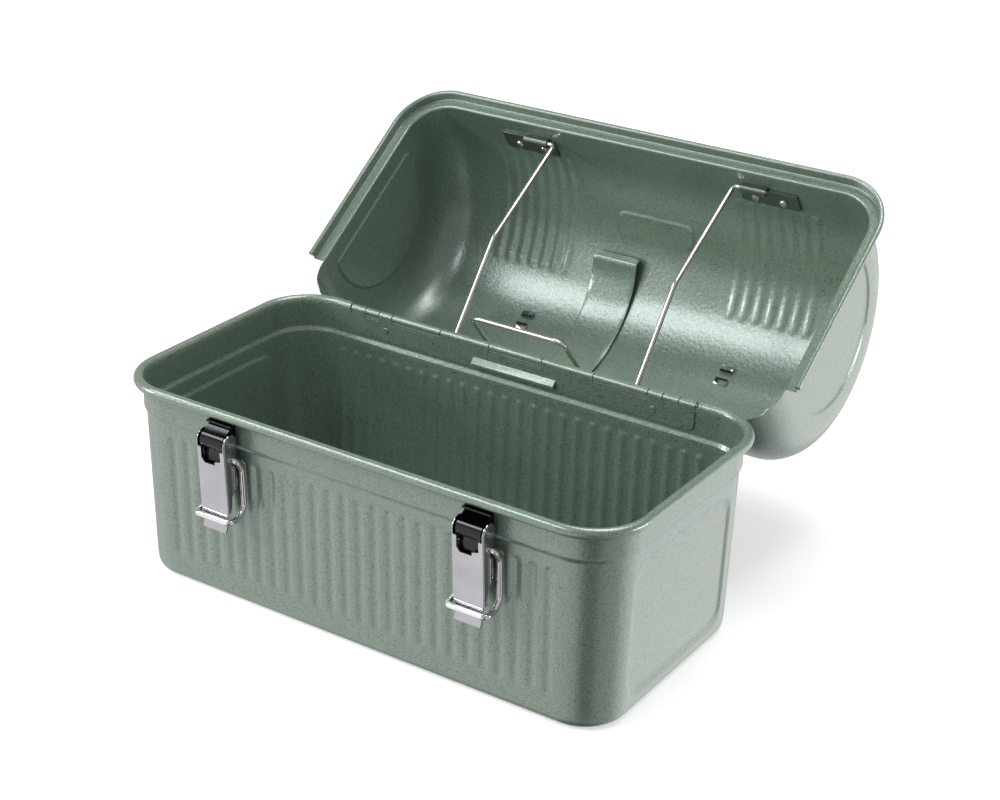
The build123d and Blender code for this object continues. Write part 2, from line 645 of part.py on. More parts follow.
def make_latch_bracket(side, name):
    """Hood on the wall: sloped top, rolled front round the pin, side walls, a tongue and a lip."""
    x = side * LATCH_X
    wall = -(RIM_Y - NECK_IN)
    outline = [(wall, 101.0), (wall, 113.4), (wall - 1.7, 113.4), (PIVOT_Y - 2.4, 108.2), (PIVOT_Y, 101.0)]
    with BuildPart() as bracket:
        for low in (-7.5, 6.7):
            with BuildSketch(Plane(origin=(x + low, 0, 0), x_dir=(0, 1, 0), z_dir=(1, 0, 0))):
                with BuildLine():
                    Polyline(*outline, close=True)
                make_face()
            extrude(amount=0.8)
        with BuildSketch(Plane(origin=(x - 7.5, 0, 0), x_dir=(0, 1, 0), z_dir=(1, 0, 0))):
            with Locations((wall - 0.5, 107.2)):
                Rectangle(1.0, 12.4)
            with BuildLine():
                Polyline(
                    (wall - 0.2, 113.4),
                    (wall - 1.7, 113.4),
                    (PIVOT_Y - 2.4, 108.2),
                    (PIVOT_Y - 1.6, 107.3),
                    (wall - 1.4, 112.4),
                    (wall - 0.2, 112.4),
                    close=True,
                )
            make_face()
            with Locations((PIVOT_Y, PIVOT_Z)):
                Circle(4.9)
        extrude(amount=15)
        with Locations((x, -88.3, 95.5)):
            Box(12.4, 0.8, 10.0)
        with Locations(Plane(origin=(x, PIVOT_Y, PIVOT_Z), z_dir=(1, 0, 0))):
            Cylinder(1.5, 30, mode=Mode.SUBTRACT)
        with Locations((x, wall - 2.6, 112.9)):
            Box(17, 5.2, 1.0)
        with Locations(*facing_back((x - LATCH_RIVET_X, x + LATCH_RIVET_X), wall, RIVET_Z)):
            Cylinder(1.3, 2.4, mode=Mode.SUBTRACT)
    save(bracket.part, name)


def make_latch_fasteners():
    wall = -(RIM_Y - NECK_IN)
    with BuildPart() as rivets:
        for x in [s * LATCH_X + d for s in (-1, 1) for d in (-LATCH_RIVET_X, LATCH_RIVET_X)]:
            front = Plane(origin=(x, wall - 1.0, RIVET_Z), z_dir=(0, -1, 0))
            add(rivet(front, 1.0 + TUB_SHEET, 2.0, 0.8, 2.2, 0.8))
    save(rivets.part, "latch_rivets")
    with BuildPart() as pins:
        for x in (-LATCH_X, LATCH_X):
            with BuildSketch(Plane(origin=(x - 10.8, PIVOT_Y, PIVOT_Z), z_dir=(1, 0, 0))):
                Circle(1.5)
            extrude(amount=21.6)
    save(pins.part, "latch_pins")


def make_latch_lever(side, name):
    """Chrome U-channel: two cheeks on the pin, a front face with a cut-out, a finger tab."""
    x = side * LATCH_X
    face = PIVOT_Y - 5.5
    with BuildPart() as lever:
        for cheek in (-9.75, 8.75):
            with BuildSketch(Plane(origin=(x + cheek, 0, 0), x_dir=(0, 1, 0), z_dir=(1, 0, 0))):
                with Locations((PIVOT_Y, PIVOT_Z)):
                    Circle(5.5)
                with BuildLine():
                    Polyline(
                        (face, PIVOT_Z),
                        (face, 64.0),
                        (face + 3.2, 64.0),
                        (face + 4.2, 73.0),
                        (face + 8.6, 78.0),
                        (face + 10.6, 84.0),
                        (face + 11.0, PIVOT_Z),
                        close=True,
                    )
                make_face()
                with Locations((PIVOT_Y, PIVOT_Z)):
                    Circle(1.55, mode=Mode.SUBTRACT)
                with Locations((LOOP_Y, LOOP_Z)):
                    Circle(LOOP_R + 0.05, mode=Mode.SUBTRACT)
            extrude(amount=1.0)
        with BuildSketch(Plane(origin=(x, face + 1.0, 0), x_dir=(1, 0, 0), z_dir=(0, -1, 0))):
            with Locations((0, 87.0)):
                Rectangle(19.5, 28.0)
            with Locations((0, 67.0)):
                Rectangle(17.6, 12.0)
            with Locations((0, 58.5)):
                Rectangle(16.0, 8.0)
            with BuildLine():
                Polyline(
                    (-6.6, 102.0),
                    (-6.6, 94.5),
                    (-4.6, 92.0),
                    (2.6, 92.0),
                    (2.6, 94.0),
                    (6.6, 95.0),
                    (6.6, 102.0),
                    close=True,
                )
            make_face(mode=Mode.SUBTRACT)
        extrude(amount=1.0)
        with BuildSketch(Plane(origin=(x - 8.0, 0, 0), x_dir=(0, 1, 0), z_dir=(1, 0, 0))):
            with BuildLine():
                Polyline(
                    (face + 1.0, 55.0),
                    (face, 55.0),
                    (face - 1.4, 52.2),
                    (face - 0.5, 51.8),
                    close=True,
                )
            make_face()
        extrude(amount=16.0)
        corners = [e for e in lever.edges().filter_by(Axis.Z) if abs(e.center().Y - face) < 0.01]
        outer = [e for e in corners if abs(abs(e.center().X - x) - 9.75) < 0.01 and e.length > 20]
        fillet(outer, 0.9)
    save(leaned(lever.part), name)


def make_latch_loop(side, name):
    """Wire loop: two stubs in the lever's cheeks, arms bowed down and forward, a cross bar in front."""
    x = side * LATCH_X
    half = [
        (8.0, LOOP_Y, LOOP_Z),
        (LOOP_X, LOOP_Y, LOOP_Z),
        (LOOP_X, -81.0, 88.0),
        (LOOP_X, -81.0, 60.0),
        (LOOP_X, -93.8, 60.0),
    ]
    bends = [2.2, 6.0, 8.5, 3.2]
    points = half + [(-a, b, c) for a, b, c in reversed(half)]
    with BuildPart() as loop:
        add(wire([(x + a, b, c) for a, b, c in points], LOOP_R, bends + bends[::-1]))
    save(leaned(loop.part), name)


make_tub()
make_hinge_leaf_base()
make_hinge_leaf_lid()
make_hinge_pin()
make_hinge_rivets()
make_lid_shell()
make_crown_strap()
make_bail_brackets()
make_lid_catches()
make_bail_rivets()
make_bottle_bail()
make_handle()
for hand, word in ((-1, "left"), (1, "right")):
    make_latch_bracket(hand, "latch_bracket_" + word)
    make_latch_lever(hand, "latch_lever_" + word)
    make_latch_loop(hand, "latch_loop_" + word)
make_latch_fasteners()
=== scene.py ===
"""Looks for a dome-lid lunch box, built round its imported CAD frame.  Metres, +Z up, -Y front."""
import json
import math

import bmesh
import bpy
import numpy as np
from mathutils import Matrix, Vector


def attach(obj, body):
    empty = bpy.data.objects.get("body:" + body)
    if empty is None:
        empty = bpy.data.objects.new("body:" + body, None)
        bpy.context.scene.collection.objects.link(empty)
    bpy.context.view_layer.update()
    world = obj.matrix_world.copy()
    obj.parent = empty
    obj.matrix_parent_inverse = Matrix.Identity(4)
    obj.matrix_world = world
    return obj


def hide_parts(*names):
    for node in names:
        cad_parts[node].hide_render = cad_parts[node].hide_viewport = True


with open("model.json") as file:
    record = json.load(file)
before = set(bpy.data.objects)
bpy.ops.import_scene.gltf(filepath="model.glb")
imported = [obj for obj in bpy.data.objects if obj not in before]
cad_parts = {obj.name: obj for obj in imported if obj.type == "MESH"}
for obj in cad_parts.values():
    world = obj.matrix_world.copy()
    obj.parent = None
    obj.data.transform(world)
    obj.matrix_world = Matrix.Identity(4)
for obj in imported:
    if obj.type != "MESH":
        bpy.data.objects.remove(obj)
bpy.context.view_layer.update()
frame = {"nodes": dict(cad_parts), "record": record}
nodes = frame["nodes"]

MM = 0.001
TUB_SHEET = 1.0
LID_SHEET = 0.5
NECK_X, NECK_Y, NECK_R = 157.8, 78.8, 29.0
NECK_TOP = 114.4                                # where the neck meets the bead
BEAD_OUT, BEAD_Z, BEAD_R = 2.2, 117.0, 3.0
SHOULDER_TOP, SHOULDER_DEEP, SHOULDER_IN = 101.4, 3.8, 1.4
TAPER_TOP, TAPER_IN = 98.5, 2.6                 # the wall leans in this much below the shoulder
FOOT_IN = 4.0                                   # shoulder and taper together, at the floor
FLOOR_STOPS = (-70.0, -55.0, -40.0, -25.0, -15.0)
HINGE_HALF = 118.5
HINGE_Y, HINGE_Z, LID_OPEN = 79.4, 117.6, 144.5
LID_X, LID_R, DOME_Z, LID_FILLET = 157.8, 78.6, 142.0, 24.0
WALL_LOW = 126.0                                # the lid's walls start here, above the ledge
SKIRT_END = 53.0
BARE_TOP = 124.0                                # behind the skirt the wall is plain below this
BACK_WALL_Y, BACK_LOW, CORNER_LOW = 70.0, 122.8, 120.6
BAIL_Y, BAIL_Z = -75.0, 132.5
LATCH_X, PIVOT_Y, PIVOT_Z, LEVER_LEAN = 83.0, -86.0, 104.0, 3.0
PRESS = 1.0                                     # depth of the panels
RIB_PRESS, RIB_HALF, RIB_PITCH = 0.8, 3.9, 9.8
RIB_LOW, RIB_HIGH, RIB_SPAN = 19.3, 88.7, 127.4
RIB_FIRST, RIB_LAST = -13, 12
END_PANEL_Z, END_PANEL_Y, END_PANEL_HIGH = 50.5, 48.5, 39.0
LID_RIB_PRESS, LID_RIB_HALF, LID_RIB_PITCH = 0.5, 4.1, 8.5
LID_RIB_X, LID_RIB_LAST = 60.0, 6
LID_RIB_LOW, LID_RIB_HIGH, LID_RIB_ROUND = 26, 84.4, 1.6    # degrees round the crown
PLAQUE_AT, PLAQUE_X, PLAQUE_ARC = 56, 27.0, 8.5
ARCH_R, ARCH_Z, ARCH_HIGH = 46.5, 157.0, 25.0
STEP_WIDTH = 1.7                                # over which the lid's panels step in
EASE_SEGMENTS, EASE_ANGLE = 2, 28.0


# ---------------------------------------------------------------- materials

def new_material(name):
    mat = bpy.data.materials.new(name)
    mat.use_nodes = True
    tree = mat.node_tree
    tree.nodes.clear()
    out = tree.nodes.new("ShaderNodeOutputMaterial")
    bsdf = tree.nodes.new("ShaderNodeBsdfPrincipled")
    tree.links.new(bsdf.outputs[0], out.inputs[0])
    return mat, tree, bsdf


def noise(tree, coords, scale, detail=2.0, rough=0.5):
    made = tree.nodes.new("ShaderNodeTexNoise")
    made.inputs["Scale"].default_value = scale
    made.inputs["Detail"].default_value = detail
    made.inputs["Roughness"].default_value = rough
    tree.links.new(coords, made.inputs["Vector"])
    return made.outputs["Fac"]


def ramp(tree, value, stops):
    made = tree.nodes.new("ShaderNodeValToRGB")
    elements = made.color_ramp.elements
    while len(elements) < len(stops):
        elements.new(0.5)
    for element, (pos, grey) in zip(elements, stops):
        element.position = pos
        element.color = (grey, grey, grey, 1.0)
    tree.links.new(value, made.inputs["Fac"])
    return made.outputs["Color"]


def mix(tree, factor, low, high):
    made = tree.nodes.new("ShaderNodeMix")
    made.data_type = "RGBA"
    sockets = (made.inputs[0], made.inputs[6], made.inputs[7])
    for socket, value in zip(sockets, (factor, low, high)):
        if isinstance(value, bpy.types.NodeSocket):
            tree.links.new(value, socket)
        else:
            socket.default_value = value
    return made.outputs[2]


def remap(tree, value, low, high):
    made = tree.nodes.new("ShaderNodeMapRange")
    made.inputs["To Min"].default_value = low
    made.inputs["To Max"].default_value = high
    tree.links.new(value, made.inputs["Value"])
    return made.outputs["Result"]


def bump(tree, height, strength, distance, under=None):
    made = tree.nodes.new("ShaderNodeBump")
    made.inputs["Strength"].default_value = strength
    made.inputs["Distance"].default_value = distance
    tree.links.new(height, made.inputs["Height"])
    if under is not None:
        tree.links.new(under, made.inputs["Normal"])
    return made.outputs["Normal"]


def hammertone(name, light, mid, dark):
    """Hammered enamel: mottled green, fine dark speckles, a soft orange-peel surface."""
    mat, tree, bsdf = new_material(name)
    coords = tree.nodes.new("ShaderNodeTexCoord").outputs["Object"]
    mottle = noise(tree, coords, 1300.0, 2.0, 0.6)
    broad = noise(tree, coords, 35.0, 3.0, 0.55)
    speck = noise(tree, coords, 1500.0, 1.0, 0.4)
    base = mix(tree, ramp(tree, mottle, [(0.36, 0.0), (0.64, 1.0)]), mid, light)
    base = mix(tree, ramp(tree, broad, [(0.3, 0.0), (0.7, 0.22)]), base, mid)
    specks = ramp(tree, speck, [(0.33, 0.75), (0.41, 0.0)])
    base = mix(tree, specks, base, dark)
    tree.links.new(base, bsdf.inputs["Base Color"])
    gloss = noise(tree, coords, 260.0, 3.0, 0.6)
    tree.links.new(remap(tree, gloss, 0.24, 0.40), bsdf.inputs["Roughness"])
    bsdf.inputs["Metallic"].default_value = 0.3
    bsdf.inputs["Specular IOR Level"].default_value = 1.0
    bsdf.inputs["Coat Weight"].default_value = 0.9
    bsdf.inputs["Coat Roughness"].default_value = 0.20
    peel = noise(tree, coords, 420.0, 2.0, 0.5)
    pits = noise(tree, coords, 1500.0, 1.0, 0.4)
    first = bump(tree, peel, 0.35, 0.0006)
    second = bump(tree, pits, 0.30, 0.00022, first)
    tree.links.new(second, bsdf.inputs["Normal"])
    return mat


def metal(name, colour, rough_low, rough_high, scale=300.0, strength=0.05):
    """Bright metal with faint smears in its gloss and a fine surface grain."""
    mat, tree, bsdf = new_material(name)
    coords = tree.nodes.new("ShaderNodeTexCoord").outputs["Object"]
    smear = noise(tree, coords, 90.0, 4.0, 0.6)
    tone = noise(tree, coords, 60.0, 3.0, 0.5)
    darker = tuple(c * 0.86 for c in colour[:3]) + (1.0,)
    patches = ramp(tree, tone, [(0.35, 0.0), (0.7, 1.0)])
    tree.links.new(mix(tree, patches, colour, darker), bsdf.inputs["Base Color"])
    bsdf.inputs["Metallic"].default_value = 1.0
    tree.links.new(remap(tree, smear, rough_low, rough_high), bsdf.inputs["Roughness"])
    fine = noise(tree, coords, scale, 2.0, 0.5)
    tree.links.new(bump(tree, fine, strength, 0.0002), bsdf.inputs["Normal"])
    return mat


def grip_plastic():
    mat, tree, bsdf = new_material("grip_plastic")
    coords = tree.nodes.new("ShaderNodeTexCoord").outputs["Object"]
    tone = noise(tree, coords, 500.0, 3.0, 0.6)
    base = mix(tree, tone, (0.010, 0.011, 0.010, 1), (0.030, 0.031, 0.029, 1))
    tree.links.new(base, bsdf.inputs["Base Color"])
    gloss = remap(tree, noise(tree, coords, 120.0, 3.0), 0.42, 0.60)
    tree.links.new(gloss, bsdf.inputs["Roughness"])
    tree.links.new(bump(tree, tone, 0.25, 0.0003), bsdf.inputs["Normal"])
    return mat


paint = hammertone(
    "hammertone_paint",
    light=(0.215, 0.290, 0.232, 1),
    mid=(0.150, 0.208, 0.156, 1),
    dark=(0.022, 0.030, 0.020, 1),
)
# Painted shade: a much darker copy of the hammertone paint for the bail brackets' flat plates,
# standing in for the shade and dark reflection they show
plate_paint_painted_shade = hammertone(
    "plate_paint_painted_shade",
    light=(0.075, 0.100, 0.080, 1),
    mid=(0.045, 0.062, 0.046, 1),
    dark=(0.012, 0.016, 0.011, 1),
)
chrome = metal("bright_chrome", (0.50, 0.49, 0.51, 1), 0.06, 0.14)
wire_steel = metal("drawn_wire", (0.80, 0.75, 0.71, 1), 0.16, 0.26, scale=500.0, strength=0.01)
rivet_steel = metal("plated_rivet", (0.72, 0.66, 0.60, 1), 0.12, 0.24, scale=500.0, strength=0.03)
chrome_wire = metal("chrome_wire", (0.84, 0.84, 0.85, 1), 0.05, 0.10, strength=0.01)
# Painted shade: near-black chrome for the latch brackets' hoods, standing in for the dark
# reflection on their tops and the shade seen through the levers' cut-outs
hood_painted_shade_chrome = metal("hood_painted_shade_chrome", (0.045, 0.044, 0.046, 1), 0.06, 0.12)
grip_mat = grip_plastic()
SLOT_MATERIAL = {
    "paint": paint,
    "chrome": chrome,
    "wire_steel": wire_steel,
    "rivet_steel": rivet_steel,
    "grip": grip_mat,
}
NODE_MATERIAL = {
    # the bail brackets' plates carry painted shade
    "bail_bracket_left": plate_paint_painted_shade,
    "bail_bracket_right": plate_paint_painted_shade,
    # the latch brackets' hoods carry painted shade and painted dark reflection
    "latch_bracket_left": hood_painted_shade_chrome,
    "latch_bracket_right": hood_painted_shade_chrome,
    "latch_loop_left": chrome_wire,
    "latch_loop_right": chrome_wire,
}
slot_of = {s["node"]: s["material_slot"] for s in frame["record"]["subparts"]}
body_of = {n: b for b, members in frame["record"]["behaviour"]["bodies"].items() for n in members}


# ---------------------------------------------------------------- mesh helpers

def mesh_object(name, points, faces, smooth_angle=40.0):
    mesh = bpy.data.meshes.new(name)
    mesh.from_pydata([tuple(p) for p in points], [], faces)
    work = bmesh.new()
    work.from_mesh(mesh)
    bmesh.ops.remove_doubles(work, verts=work.verts, dist=2e-6)
    bmesh.ops.dissolve_degenerate(work, edges=work.edges, dist=1e-6)
    bmesh.ops.recalc_face_normals(work, faces=work.faces)
    work.to_mesh(mesh)
    work.free()
    obj = bpy.data.objects.new(name, mesh)
    bpy.context.scene.collection.objects.link(obj)
    smooth(obj, smooth_angle)
    return obj


def smooth(obj, angle):
    obj.data.shade_smooth()
    obj.data.set_sharp_from_angle(angle=math.radians(angle))


def grid_faces(rows, cols, wrap_cols=False, start=0):
    faces = []
    for i in range(rows - 1):
        for j in range(cols if wrap_cols else cols - 1):
            a = i * cols + j
            b = i * cols + (j + 1) % cols
            c = (i + 1) * cols + (j + 1) % cols
            d = (i + 1) * cols + j
            faces.append((start + a, start + b, start + c, start + d))
    return faces


def finish_piece(obj, body, slot, *replaced, finish=None):
    obj.data.materials.clear()
    obj.data.materials.append(finish or SLOT_MATERIAL[slot])
    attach(obj, body)
    if replaced:
        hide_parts(*replaced)


def opened(points):
    """Swing lid points, in mm and drawn closed, to the open stop."""
    c = math.cos(math.radians(LID_OPEN))
    s = math.sin(math.radians(LID_OPEN))
    out = np.array(points, float)
    y = out[..., 1] - HINGE_Y
    z = out[..., 2] - HINGE_Z
    out[..., 1] = HINGE_Y + y * c + z * s
    out[..., 2] = HINGE_Z - y * s + z * c
    return out


def bell(dist, half):
    """Smooth pressed profile: 1 at the middle, 0 from `half` outwards."""
    t = np.clip(np.abs(dist) / half, 0, 1)
    return 0.5 + 0.5 * np.cos(np.pi * t)


def step_in(dist, width):
    """0 outside a panel's edge, 1 inside it, over `width`; dist is negative inside."""
    t = np.clip(0.5 - dist / width, 0, 1)
    return t * t * (3 - 2 * t)


def box_dist(u, v, half_u, half_v, radius):
    """Signed distance to a rounded rectangle."""
    qu = np.abs(u) - (half_u - radius)
    qv = np.abs(v) - (half_v - radius)
    outside = np.hypot(np.maximum(qu, 0), np.maximum(qv, 0))
    return outside + np.minimum(np.maximum(qu, qv), 0) - radius


# ---------------------------------------------------------------- the tub

def spread(low, high, step):
    count = max(1, int(round(abs(high - low) / step)))
    return list(np.linspace(low, high, count + 1))


def rounded_rectangle(half_x, half_y, radius, x_stops, y_stops, turns=14):
    """Closed plan curve as (points, outward normals, side names), from the middle of the front."""
    a, b = half_x - radius, half_y - radius
    pts, nrm, side = [], [], []

    def straight(values, make, normal, name):
        for v in values:
            pts.append(make(v))
            nrm.append(normal)
            side.append(name)

    def corner(cx, cy, start):
        for k in range(1, turns):
            ang = math.radians(start + 90.0 * k / turns)
            n = (math.cos(ang), math.sin(ang))
            pts.append((cx + radius * n[0], cy + radius * n[1]))
            nrm.append(n)
            side.append("corner")

    xs = sorted(set([-a, a] + [x for x in x_stops if -a < x < a]))
    ys = sorted(set([-b, b] + [y for y in y_stops if -b < y < b]))
    straight(xs, lambda v: (v, -half_y), (0.0, -1.0), "front")
    corner(a, -b, -90)
    straight(ys, lambda v: (half_x, v), (1.0, 0.0), "right")
    corner(a, b, 0)
    straight(xs[::-1], lambda v: (v, half_y), (0.0, 1.0), "back")
    corner(-a, b, 90)
    straight(ys[::-1], lambda v: (-half_x, v), (-1.0, 0.0), "left")
    corner(-a, -b, 180)
    return np.array(pts), np.array(nrm), np.array(side)


def tub_press(x, y, side, z):
    """Depth of the pressing at a point of the wall."""
    depth = np.zeros(len(x))
    ribbed = (side == "front") | (side == "back")
    rib = np.clip(np.round((x - RIB_PITCH / 2) / RIB_PITCH), RIB_FIRST, RIB_LAST)
    near = rib * RIB_PITCH + RIB_PITCH / 2
    over = max(0.0, RIB_LOW - z, z - RIB_HIGH)
    depth += np.where(ribbed, RIB_PRESS * bell(np.hypot(x - near, over), RIB_HALF), 0.0)
    ends = (side == "left") | (side == "right")
    height = np.full(len(y), z - END_PANEL_Z)
    panel = step_in(box_dist(y, height, END_PANEL_Y, END_PANEL_HIGH, 11.0), 3.0)
    return depth + np.where(ends, PRESS * panel, 0.0)


def tub_profile():
    """Closed section of the sheet, as (offset outwards from the neck, height, kind)."""
    rows = []
    sheet = TUB_SHEET

    def wall(z):
        t = min(1.0, max(0.0, (SHOULDER_TOP - z) / SHOULDER_DEEP))
        shoulder = -SHOULDER_IN * t * t * (3 - 2 * t)
        return shoulder - TAPER_IN * max(0.0, TAPER_TOP - z) / TAPER_TOP

    heights = sorted(set(
        spread(8, 16, 2.0) + spread(16, 21, 0.6) + spread(21, 86, 4.0) + spread(86, 92, 0.6)
        + spread(92, 97, 1.2) + spread(97, 102, 0.35) + spread(102, NECK_TOP, 2.5)
    ))
    # inside, from the middle of the floor to the top
    for d in FLOOR_STOPS:
        rows.append((d, sheet, "floor"))
    fil = 5.0
    for k in range(0, 9):
        ang = math.radians(90 * k / 8)
        offset = -FOOT_IN - sheet - fil + fil * math.sin(ang)
        rows.append((offset, sheet + fil - fil * math.cos(ang), "foot"))
    for z in heights:
        rows.append((wall(z + 0.6 if z < 98 else z) - sheet, z, "in"))
    rows.append((-sheet, 115.6, "edge_in"))
    for k in range(0, 25):
        ang = math.radians(172 - k * (172 + 132) / 24)
        rows.append((BEAD_OUT + BEAD_R * math.cos(ang), BEAD_Z + BEAD_R * math.sin(ang), "bead"))
    rows.append((0.0, NECK_TOP, "edge_out"))
    for z in heights[::-1][1:]:
        rows.append((wall(z), z, "out"))
    fil = 6.0
    for k in range(0, 9):
        ang = math.radians(90 * k / 8)
        rows.append((-FOOT_IN - fil + fil * math.cos(ang), fil - fil * math.sin(ang), "foot"))
    for d in FLOOR_STOPS[::-1]:
        rows.append((d, 0.0, "floor"))
    return rows


def make_tub():
    # a pair of stops at each end of the hinge, so that the bead is cut off square there
    hinge_ends = [-HINGE_HALF, -HINGE_HALF + 0.02, HINGE_HALF, HINGE_HALF - 0.02]
    x_stops = spread(-RIB_SPAN, RIB_SPAN, RIB_PITCH / 12) + hinge_ends
    y_stops = spread(-44, 44, 4.0) + spread(-50, -44, 0.5) + spread(44, 50, 0.5)
    plan, normal, side = rounded_rectangle(NECK_X, NECK_Y, NECK_R, x_stops, y_stops)
    rows = tub_profile()
    hinge_zone = (side == "back") & (np.abs(plan[:, 0]) < HINGE_HALF - 0.01)
    points = []
    for d, z, kind in rows:
        ring = np.zeros((len(plan), 3))
        if kind == "floor":
            # the plan curve shrinks towards a line along the middle
            inner_r = max(NECK_R + d, 0.0)
            scale_x = (NECK_X + d) / NECK_X
            scale_y = (NECK_Y + d) / NECK_Y
            if inner_r > 0:
                ring[:, :2] = plan + normal * d
            else:
                ring[:, 0] = plan[:, 0] * scale_x
                ring[:, 1] = plan[:, 1] * scale_y
            ring[:, 2] = z
        else:
            depth = np.zeros(len(plan))
            if kind in ("in", "out"):
                depth = tub_press(plan[:, 0], plan[:, 1], side, z)
            ring[:, :2] = plan + normal * (d - depth)[:, None]
            ring[:, 2] = z
            if kind in ("bead", "edge_in", "edge_out"):
                flat = np.clip(d, -TUB_SHEET, 0.0)
                top = np.where(hinge_zone, NECK_TOP, z)
                offs = np.where(hinge_zone, flat, d)
                ring[:, :2] = plan + normal * offs[:, None]
                ring[:, 2] = top
        points.append(ring)
    cols = len(plan)
    rows_count = len(points)
    faces = grid_faces(rows_count, cols, wrap_cols=True)
    faces.append(tuple(range(cols))[::-1])
    faces.append(tuple((rows_count - 1) * cols + j for j in range(cols)))
    tub = mesh_object("tub_body", np.concatenate(points) * MM, faces, 55.0)
    finish_piece(tub, "base", "paint", "base_tub")


# ---------------------------------------------------------------- the lid

def lid_sections():
    """Sample stops along the lid: (x of the section, how far it is inset, outward share of x)."""
    flat = [LID_R, 62.0, 48.0, 42.0] + spread(36.0, 30.0, 0.6) + [27.5, 25.5]
    stops = []
    for inset in flat:
        stops.append((-LID_X, inset, 1.0))
    for k in range(0, 16):
        ang = math.radians(90 * k / 15)
        inset = LID_FILLET * (1 - math.sin(ang))
        stops.append((-(LID_X - LID_FILLET) - LID_FILLET * math.cos(ang), inset, math.cos(ang)))
    xs = spread(-130, -116, 4.0) + spread(-115, -55, 0.85) + spread(-54, -29, 3.0)
    xs += spread(-28.5, -20, 0.6) + spread(-18, 0, 3.0)
    xs = sorted(set([round(x, 3) for x in xs] + [round(-x, 3) for x in xs]))
    middle = [(x, 0.0, 0.0) for x in xs]
    mirrored = [(-x, inset, share) for x, inset, share in stops][::-1]
    return stops + middle + mirrored


def lid_angles():
    """Stops along the section: ('front', z) upwards, ('arc', angle), then ('back', z) downwards."""
    wall = [WALL_LOW, 128.0] + spread(129.5, 135.0, 0.5) + [138.0]
    arc = [("arc", angle) for angle in spread(90, -90, 1.0)]
    return [("front", z) for z in wall] + arc + [("back", z) for z in wall[::-1]]


def lid_press(x, ang, inset, share, where, z):
    """Depth of the lid's pressings at one point."""
    depth = 0.0
    arc_mm = LID_R * math.radians(ang)
    if share == 0.0 and ang > 0:
        if abs(x) > 50:
            k = min(LID_RIB_LAST, max(0, round((abs(x) - LID_RIB_X) / LID_RIB_PITCH)))
            low = LID_R * math.radians(LID_RIB_LOW + LID_RIB_ROUND)
            high = LID_R * math.radians(LID_RIB_HIGH - LID_RIB_ROUND)
            over = max(0.0, low - arc_mm, arc_mm - high)
            across = math.hypot(abs(x) - LID_RIB_X - LID_RIB_PITCH * k, over)
            depth += LID_RIB_PRESS * float(bell(across, LID_RIB_HALF))
        if abs(x) < 34:
            along = arc_mm - LID_R * math.radians(PLAQUE_AT)
            dist = float(box_dist(x, along, PLAQUE_X, PLAQUE_ARC, 6.0))
            depth += PRESS * float(step_in(dist, STEP_WIDTH))
    if share == 1.0:
        reach = LID_R - inset
        if where == "arc":
            depth += PRESS * float(step_in(reach - ARCH_R, STEP_WIDTH))
        else:
            dist = float(box_dist(reach, z - ARCH_Z, ARCH_R, ARCH_HIGH, 5.0))
            depth += PRESS * float(step_in(dist, STEP_WIDTH))
    return depth


def lid_surface(sheet):
    stations = lid_angles()
    sections = lid_sections()
    grid = np.zeros((len(stations), len(sections), 3))
    for i, (where, value) in enumerate(stations):
        for j, (x, inset, share) in enumerate(sections):
            reach = LID_R - inset
            if where == "arc":
                ang = value
                radial = (math.sin(math.radians(ang)), math.cos(math.radians(ang)))
                y = -reach * radial[0]
                z = DOME_Z + reach * radial[1]
            else:
                ang = 90.0 if where == "front" else -90.0
                radial = (math.sin(math.radians(ang)), 0.0)
                y = -reach * radial[0]
                z = value
            level = value if where != "arc" else DOME_Z
            back = lid_press(x, ang, inset, share, where, level) + sheet
            side = math.copysign(share, x)
            up = math.sqrt(max(0.0, 1 - share * share))
            n = np.array((side, -radial[0] * up, radial[1] * up))
            grid[i, j] = np.array((x, y, z)) - n * back
    return grid


def rim_section():
    """Section round the sheet below the walls, as (offset outwards, height, flag).

    The flag is 1 for the ledge, skirt and rolled lip, and 0 for the plain wall above them.
    """
    s = LID_SHEET
    rows = [(0.0, WALL_LOW, 0), (0.0, 123.5, 0), (0.0, 122.2, 0)]
    for k in range(0, 6):
        ang = math.radians(180 + 90 * k / 5)
        rows.append((1.0 + math.cos(ang), 122.1 + math.sin(ang), 1))
    for k in range(0, 6):
        ang = math.radians(90 - 90 * k / 5)
        rows.append((5.5 + 1.1 * math.cos(ang), 120.0 + 1.1 * math.sin(ang), 1))
    rows.append((6.6, 118.2, 1))
    for k in range(0, 17):
        ang = math.radians(130 - 310 * k / 16)
        rows.append((7.7 + 1.6 * math.cos(ang), 116.2 + 1.6 * math.sin(ang), 1))
    rows.append((6.6 - s, 118.0, 1))
    for k in range(0, 6):
        ang = math.radians(90 * k / 5)
        rows.append((5.5 + 0.6 * math.cos(ang), 120.0 + 0.6 * math.sin(ang), 1))
    for k in range(0, 6):
        ang = math.radians(270 - 90 * k / 5)
        rows.append((1.0 + (1.0 + s) * math.cos(ang), 122.1 + (1.0 + s) * math.sin(ang), 1))
    rows += [(-s, 122.2, 0), (-s, 123.5, 0), (-s, WALL_LOW, 0)]
    return rows


def lid_plan():
    """Plan curve of the lid's walls, from the middle of the left end and round the front."""
    sections = lid_sections()
    front = [((x, -(LID_R - inset)), share, x) for x, inset, share in sections]
    pts, nrm = [], []
    for (x, y), share, raw in front:
        up = math.sqrt(max(0.0, 1 - share * share))
        pts.append((x, y))
        nrm.append((math.copysign(share, raw), -up))
    back_pts = [(x, -y) for x, y in pts][::-1]
    back_nrm = [(a, -b) for a, b in nrm][::-1]
    return np.array(pts[:-1] + back_pts[:-1]), np.array(nrm[:-1] + back_nrm[:-1])


